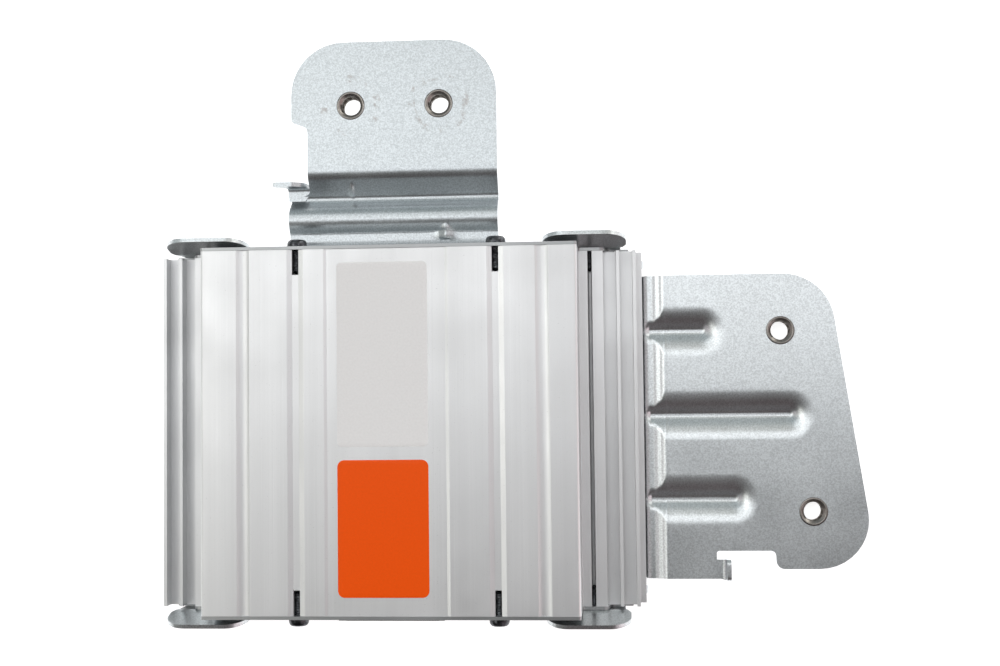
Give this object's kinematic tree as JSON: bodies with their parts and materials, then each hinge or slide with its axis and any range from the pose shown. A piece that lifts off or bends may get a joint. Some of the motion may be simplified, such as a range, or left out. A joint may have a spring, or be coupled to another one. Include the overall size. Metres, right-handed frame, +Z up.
{
  "type": "power inverter",
  "caption": "Flat finned aluminium power inverter closed by thin end plates, with a recessed socket header and bent steel arms that carry clinched nuts.",
  "frame": {"origin": "on the underside of the base cradle, below the middle of the housing extrusion", "axes": "+Z up through the raised roof, +X across the fins towards the side arm, +Y along the fins towards the top bracket"},
  "size_m": [0.2635, 0.2141, 0.0395],
  "materials": {
    "extruded_aluminium": "mill-finish extrusion, faint lengthwise lines",
    "sheet_aluminium": "cut sheet, satin",
    "black_oxide_steel": "black oxide, semi-gloss",
    "zinc_plated_sheet": "bright zinc plate over rolled steel, fine grain",
    "zinc_plated_nut": "zinc plate on turned steel",
    "zinc_plated_bar": "zinc plate",
    "rivet_aluminium": "drawn, satin",
    "light_label_film": "blank printed film, satin",
    "orange_label_film": "blank printed film, satin gloss",
    "board_laminate": "solder mask over glass laminate",
    "ferrite": "sintered and ground",
    "bobbin_nylon": "moulded, fine texture",
    "enamelled_copper": "enamelled wire",
    "capacitor_sleeve": "shrunk sleeve",
    "film_capacitor_case": "moulded case",
    "moulded_epoxy": "moulded epoxy",
    "silicone_pad": "filled silicone sheet",
    "fuse_plastic": "clear tinted moulding",
    "varistor_coating": "dipped coating",
    "header_pbt": "moulded, fine texture",
    "tinned_brass": "tin plate on stamped strip"
  },
  "bodies": {
    "root": {"housing": "extruded_aluminium", "rear_end_plate": "sheet_aluminium", "connector_end_plate": "sheet_aluminium", "upper_end_screws": "black_oxide_steel", "lower_end_screws": "black_oxide_steel", "base_cradle": "zinc_plated_sheet", "top_bracket": "zinc_plated_sheet", "side_arm_nuts": "zinc_plated_nut", "bracket_nuts": "zinc_plated_nut", "bracket_rivets": "rivet_aluminium", "white_sticker": "light_label_film", "orange_sticker": "orange_label_film", "circuit_board": "board_laminate", "transformer_core": "ferrite", "transformer_bobbin": "bobbin_nylon", "transformer_winding": "enamelled_copper", "choke_core": "ferrite", "choke_winding": "enamelled_copper", "input_capacitors": "capacitor_sleeve", "high_voltage_capacitor": "capacitor_sleeve", "film_capacitors": "film_capacitor_case", "input_transistors": "moulded_epoxy", "bridge_transistors": "moulded_epoxy", "insulating_pads": "silicone_pad", "clamp_bars": "zinc_plated_bar", "clamp_screws": "black_oxide_steel", "fuse_holder": "bobbin_nylon", "blade_fuse": "fuse_plastic", "control_chips": "moulded_epoxy", "varistor": "varistor_coating", "connector_header": "header_pbt", "connector_terminals": "tinned_brass"}
  },
  "joints": []
}
